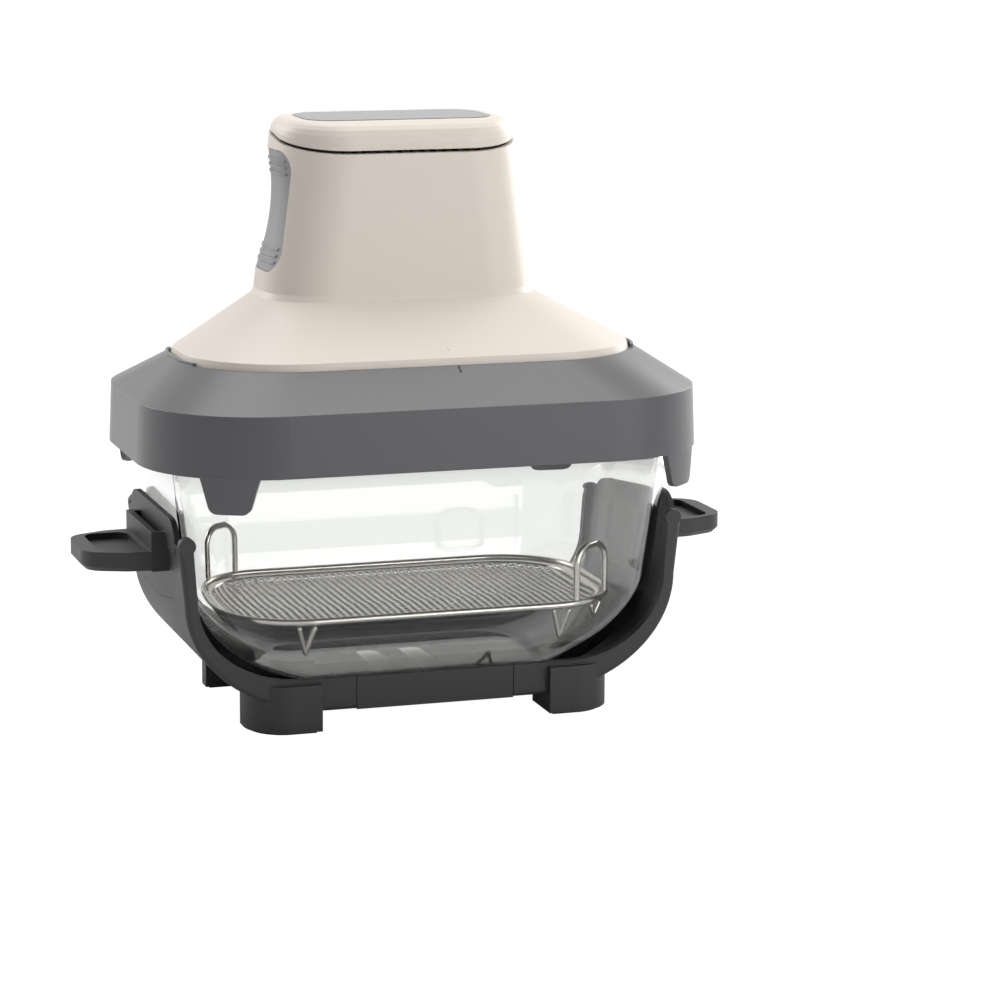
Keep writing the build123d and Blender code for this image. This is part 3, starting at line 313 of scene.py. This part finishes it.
def glass_bowl():
    """Smooth pressed glass bowl with a rolled bead round its rim."""
    outside, inside = [], []
    for step in range(CURVE_RINGS + 1):
        turn = pi / 2 * step / CURVE_RINGS
        share = sin(turn) ** (2 / BOWL_POWER)
        rise = 1 - cos(turn) ** (2 / BOWL_POWER)
        half = between(FOOT_HALF, WAIST_HALF, share)
        z = BOWL_BASE + (BOWL_WAIST - BOWL_BASE) * rise
        outside.append((half, z, 0.0))
        inside.append((half, z + GLASS * (1 - rise), -GLASS))
    for share in UPPER_RINGS:
        half = between(WAIST_HALF, RIM_HALF, share)
        z = BOWL_WAIST + (BOWL_TOP - BOWL_WAIST) * share
        outside.append((half, z, 0.0))
        inside.append((half, z, -GLASS))
    bead = [(RIM_HALF, BOWL_TOP + drop, out) for drop, out in RIM_BEAD]
    mesh_data = bmesh.new()
    rings = outside + bead + inside[-2::-1]
    rows = skin(mesh_data, [rounded(*ring) for ring in rings])
    mesh_data.faces.new(rows[0])
    mesh_data.faces.new(rows[-1])
    return finished("cast_glass_bowl", mesh_data, "glass_bowl", borosilicate)


def edge_depth(tree, straight, corner):
    """Field of how far a flat point lies inside the tray's rounded outline, in metres."""
    place = add_node(tree, "GeometryNodeInputPosition").outputs[0]
    folded = add_node(tree, "ShaderNodeVectorMath", {"operation": "ABSOLUTE"}, n0=place)
    over = add_node(
        tree, "ShaderNodeVectorMath", {"operation": "SUBTRACT"}, n0=folded.outputs[0], n1=straight
    ).outputs[0]
    beyond = add_node(tree, "ShaderNodeVectorMath", {"operation": "MAXIMUM"}, n0=over, n1=(0, 0, 0))
    arc = add_node(tree, "ShaderNodeVectorMath", {"operation": "LENGTH"}, n0=beyond.outputs[0])
    apart = add_node(tree, "ShaderNodeSeparateXYZ", n0=over).outputs
    side = add_node(tree, "ShaderNodeMath", {"operation": "MAXIMUM"}, n0=apart["X"], n1=apart["Y"])
    inner = add_node(tree, "ShaderNodeMath", {"operation": "MINIMUM"}, n0=side.outputs[0], n1=0.0)
    total = add_node(
        tree, "ShaderNodeMath", {"operation": "ADD"}, n0=arc.outputs["Value"], n1=inner.outputs[0]
    )
    return add_node(
        tree, "ShaderNodeMath", {"operation": "SUBTRACT"}, n0=corner, n1=total.outputs[0]
    ).outputs[0]


def pierced_tree():
    """Geometry nodes that set one pierced cell on a grid inside an outline and press a dip into it."""
    tree = bpy.data.node_groups.new("pierced_floor", "GeometryNodeTree")
    kinds = {
        "Geometry": "Geometry", "Columns": "Int", "Rows": "Int", "Length": "Float",
        "Width": "Float", "Straight Half": "Vector", "Corner": "Float", "Plain Band": "Float",
        "Level": "Float", "Pressed Level": "Float", "Dip Start": "Float", "Dip End": "Float",
        "Merge Gap": "Float", "Material": "Material",
    }
    for name, kind in kinds.items():
        tree.interface.new_socket(name=name, in_out="INPUT", socket_type="NodeSocket" + kind)
    tree.interface.new_socket(name="Geometry", in_out="OUTPUT", socket_type="NodeSocketGeometry")
    given = add_node(tree, "NodeGroupInput").outputs
    grid = add_node(
        tree, "GeometryNodeMeshGrid", Size_X=given["Length"], Size_Y=given["Width"],
        Vertices_X=given["Columns"], Vertices_Y=given["Rows"],
    )
    depth = edge_depth(tree, given["Straight Half"], given["Corner"])
    kept = add_node(
        tree, "FunctionNodeCompare", {"data_type": "FLOAT", "operation": "GREATER_EQUAL"},
        n0=depth, n1=given["Plain Band"],
    )
    cells = add_node(
        tree, "GeometryNodeInstanceOnPoints", Points=grid.outputs["Mesh"],
        Instance=given["Geometry"], Selection=kept.outputs[0],
    )
    whole = add_node(tree, "GeometryNodeRealizeInstances", Geometry=cells.outputs[0])
    joined = add_node(
        tree, "GeometryNodeMergeByDistance", Geometry=whole.outputs[0], Distance=given["Merge Gap"]
    )
    height = add_node(
        tree, "ShaderNodeMapRange", {"interpolation_type": "SMOOTHSTEP"}, Value=depth,
        From_Min=given["Dip Start"], From_Max=given["Dip End"],
        To_Min=given["Level"], To_Max=given["Pressed Level"],
    )
    rise = add_node(tree, "ShaderNodeCombineXYZ", Z=height.outputs["Result"])
    pressed = add_node(
        tree, "GeometryNodeSetPosition", Geometry=joined.outputs[0], Offset=rise.outputs[0]
    )
    painted = add_node(
        tree, "GeometryNodeSetMaterial", Geometry=pressed.outputs[0], Material=given["Material"]
    )
    add_node(tree, "NodeGroupOutput", Geometry=painted.outputs[0])
    return tree


def pierced_cell():
    """One flat square of the floor round its diamond hole, as an object."""
    half = HOLE_PITCH / 2
    corners = [(-half, -half), (half, -half), (half, half), (-half, half)]
    tips = [(0, -HOLE_REACH), (HOLE_REACH, 0), (0, HOLE_REACH), (-HOLE_REACH, 0)]
    points = [(x * MM, y * MM, 0) for x, y in corners + tips]
    faces = []
    for i in range(4):
        j = (i + 1) % 4
        faces += [(i, j, i + 4), (j, j + 4, i + 4)]
    mesh = bpy.data.meshes.new("pierced_cell")
    mesh.from_pydata(points, [], faces)
    cell = bpy.data.objects.new("pierced_cell", mesh)
    scene.collection.objects.link(cell)
    return cell


def pressed_level(depth):
    """Height of the pressed floor at a depth from the outline, in millimetres."""
    share = min(1.0, max(0.0, (depth - DIP_START) / (DIP_END - DIP_START)))
    return FLOOR_LEVEL - FLOOR_DIP * share * share * (3 - 2 * share)


def crisper_floor():
    """Pressed tray floor with rows of small diamond holes and a plain band round it."""
    reach_x, reach_y, radius = TRAY_HALF
    columns = int(reach_x / HOLE_PITCH)
    rows = int(reach_y / HOLE_PITCH)
    sizes = {
        "Columns": 2 * columns + 1,
        "Rows": 2 * rows + 1,
        "Length": 2 * columns * HOLE_PITCH * MM,
        "Width": 2 * rows * HOLE_PITCH * MM,
        "Straight Half": ((reach_x - radius) * MM, (reach_y - radius) * MM, 0.0),
        "Corner": radius * MM,
        "Plain Band": (BAND - HOLE_PITCH / 2) * MM,
        "Level": FLOOR_LEVEL * MM,
        "Pressed Level": (FLOOR_LEVEL - FLOOR_DIP) * MM,
        "Dip Start": DIP_START * MM,
        "Dip End": DIP_END * MM,
        "Merge Gap": MERGE_GAP * MM,
        "Material": polished_steel,
    }
    cell = pierced_cell()
    pierce = cell.modifiers.new("pierce", "NODES")
    pierce.node_group = pierced_tree()
    for socket in pierce.node_group.interface.items_tree:
        if socket.name in sizes:
            pierce[socket.identifier] = sizes[socket.name]
    applied(cell)
    mesh_data = bmesh.new()
    mesh_data.from_mesh(cell.data)
    bpy.data.objects.remove(cell)
    skin(mesh_data, [rounded(TRAY_HALF, pressed_level(d) + BAND_LIFT, -d) for d in BAND_DEPTHS])
    for face in mesh_data.faces:
        face.smooth = True
    piece = finished("pressed_crisper_floor", mesh_data, "crisper_sheet", polished_steel)
    sheet = piece.modifiers.new("thickness", "SOLIDIFY")
    sheet.thickness = SHEET * MM
    sheet.offset = 0.0
    applied(piece)
    return piece


def on_front(node, x, z):
    """Point and outward normal where a line from the front, at x and z, meets a node."""
    tree = BVHTree.FromObject(nodes[node], bpy.context.evaluated_depsgraph_get())
    start = Vector((x * MM, SIGHT_START, z * MM))
    place, normal, _, _ = tree.ray_cast(start, Vector((0, 1, 0)))
    return place, normal if normal.y < 0 else -normal


def front_mark(name, node, outline, proud, material):
    """Thin raised mark that lies on a node's front face, from its outline in x and z."""
    mesh_data = bmesh.new()
    rings = [[], [], []]
    for x, z in outline:
        place, normal = on_front(node, x, z)
        for ring_points, rise in zip(rings, (MARK_ROOT, proud * MARK_SHOULDER, proud)):
            ring_points.append(place + normal * (rise * MM))
    centre = sum(rings[2], Vector()) / len(outline)
    rings[2] = [point.lerp(centre, MARK_DRAW_IN) for point in rings[2]]
    rows = skin(mesh_data, rings)
    mesh_data.faces.new(rows[0])
    mesh_data.faces.new(rows[2])
    piece = finished(name, mesh_data, node, material, replaces=False)
    return piece


def dot_outline():
    """Points of the skirt's dot, as x and z."""
    x, z = DOT_CENTRE
    turns = [2 * pi * i / DOT_POINTS for i in range(DOT_POINTS)]
    return [(x + DOT_RADIUS * cos(turn), z + DOT_RADIUS * sin(turn)) for turn in turns]


def area_light(name, place, size, power):
    """Soft rectangular lamp pointed at the object."""
    lamp = bpy.data.lights.new(name, "AREA")
    lamp.shape = "RECTANGLE"
    lamp.size, lamp.size_y = size
    lamp.energy = power
    holder = bpy.data.objects.new(name, lamp)
    holder.location = place
    towards = Vector(LAMP_AIM) - Vector(place)
    holder.rotation_euler = towards.to_track_quat("-Z", "Y").to_euler()
    scene.collection.objects.link(holder)


def looking(tree, far=1.0):
    """1 for camera rays, and far for rays that look through glass or off a glossy face."""
    path = add_node(tree, "ShaderNodeLightPath").outputs
    second = add_node(
        tree, "ShaderNodeMath", {"operation": "MAXIMUM"},
        n0=path["Is Transmission Ray"], n1=path["Is Glossy Ray"],
    )
    faded = add_node(tree, "ShaderNodeMath", {"operation": "MULTIPLY"}, n0=second.outputs[0], n1=far)
    return add_node(
        tree, "ShaderNodeMath", {"operation": "MAXIMUM"},
        n0=path["Is Camera Ray"], n1=faded.outputs[0],
    ).outputs[0]


def pale_world():
    """White backdrop that glossy faces see darken towards the room in front, and an even light."""
    world = bpy.data.worlds.new("pale_room")
    world.use_nodes = True
    tree = world.node_tree
    tree.nodes.clear()
    place = add_node(tree, "ShaderNodeTexCoord").outputs["Generated"]
    apart = add_node(tree, "ShaderNodeSeparateXYZ", n0=place).outputs
    depth = add_node(
        tree, "ShaderNodeMapRange", Value=apart["Y"],
        From_Min=ROOM_FALL[0], From_Max=ROOM_FALL[1], To_Min=ROOM_FRONT, To_Max=1.0,
    )
    path = add_node(tree, "ShaderNodeLightPath").outputs
    through = add_node(
        tree, "ShaderNodeMath", {"operation": "MAXIMUM"},
        n0=path["Is Camera Ray"], n1=path["Is Transmission Ray"],
    )
    bright = add_node(
        tree, "ShaderNodeMath", {"operation": "MAXIMUM"},
        n0=through.outputs[0], n1=depth.outputs["Result"],
    )
    seen = add_node(
        tree, "ShaderNodeMath", {"operation": "MULTIPLY"}, n0=bright.outputs[0], n1=BACKDROP_SEEN
    )
    shown = add_node(
        tree, "ShaderNodeBackground", Color=linear("ffffff"), Strength=seen.outputs[0]
    )
    given = add_node(tree, "ShaderNodeBackground", Color=linear("f4f6ff"), Strength=ROOM_LIGHT)
    both = add_node(
        tree, "ShaderNodeMixShader", n0=looking(tree), n1=given.outputs[0], n2=shown.outputs[0]
    )
    add_node(tree, "ShaderNodeOutputWorld", Surface=both.outputs[0])
    scene.world = world


def floor_plane():
    """Plain pale floor that reads as white, with a soft shadow where the feet stand."""
    mesh = bpy.data.meshes.new("floor")
    half = FLOOR_SIZE / 2
    corners = [(-half, -half, 0), (half, -half, 0), (half, half, 0), (-half, half, 0)]
    mesh.from_pydata(corners, [], [(0, 1, 2, 3)])
    floor = bpy.data.objects.new("floor", mesh)
    paint = new_material("matt_white_paint", "f2f2f2", 0.8)
    tree = paint.node_tree
    place = add_node(tree, "ShaderNodeTexCoord").outputs["Object"]
    reach = add_node(tree, "ShaderNodeVectorMath", {"operation": "LENGTH"}, n0=place)
    away = add_node(
        tree, "ShaderNodeMapRange", Value=reach.outputs["Value"],
        From_Min=SHADOW_REACH[0], From_Max=SHADOW_REACH[1],
    )
    share = add_node(
        tree, "ShaderNodeMath", {"operation": "MULTIPLY"},
        n0=looking(tree, away.outputs["Result"]), n1=FLOOR_GLOW,
    )
    white = add_node(tree, "ShaderNodeEmission", Color=linear("ffffff"), Strength=FLOOR_WHITE)
    both = add_node(
        tree, "ShaderNodeMixShader", n0=share.outputs[0],
        n1=tree.nodes["Principled BSDF"].outputs[0], n2=white.outputs[0],
    )
    tree.links.new(both.outputs[0], tree.nodes["Material Output"].inputs["Surface"])
    mesh.materials.append(paint)
    scene.collection.objects.link(floor)


def photo_camera():
    """The photo's camera, with its picture centre moved as found by the fit."""
    lens = bpy.data.cameras.new("photo_camera")
    lens.sensor_width = SENSOR_MM
    lens.lens = SENSOR_MM * FOCAL_PIXELS / IMAGE_PIXELS
    lens.shift_x = (IMAGE_PIXELS / 2 - CENTRE_PIXEL[0]) / IMAGE_PIXELS
    lens.shift_y = (CENTRE_PIXEL[1] - IMAGE_PIXELS / 2) / IMAGE_PIXELS
    lens.clip_start = NEAR_CLIP
    camera = bpy.data.objects.new("photo_camera", lens)
    azimuth = radians(CAMERA_AZIMUTH)
    elevation = radians(CAMERA_ELEVATION)
    level = cos(elevation)
    back = Vector((sin(azimuth) * level, -cos(azimuth) * level, sin(elevation)))
    camera.location = CAMERA_TARGET + back * CAMERA_DISTANCE
    camera.rotation_euler = (-back).to_track_quat("-Z", "Y").to_euler()
    scene.collection.objects.link(camera)
    scene.camera = camera


glass_bowl()
crisper_floor()
front_mark("ring_mark", "adapter_ring", RING_MARK, RING_MARK_RISE, black_abs)
front_mark("skirt_dot", "pod_housing", dot_outline(), DOT_RISE, cream_abs)
floor_plane()
pale_world()
for lamp_name, (lamp_place, lamp_size, lamp_power) in LAMPS.items():
    area_light(lamp_name, lamp_place, lamp_size, lamp_power)
photo_camera()
scene.view_settings.view_transform = "Standard"
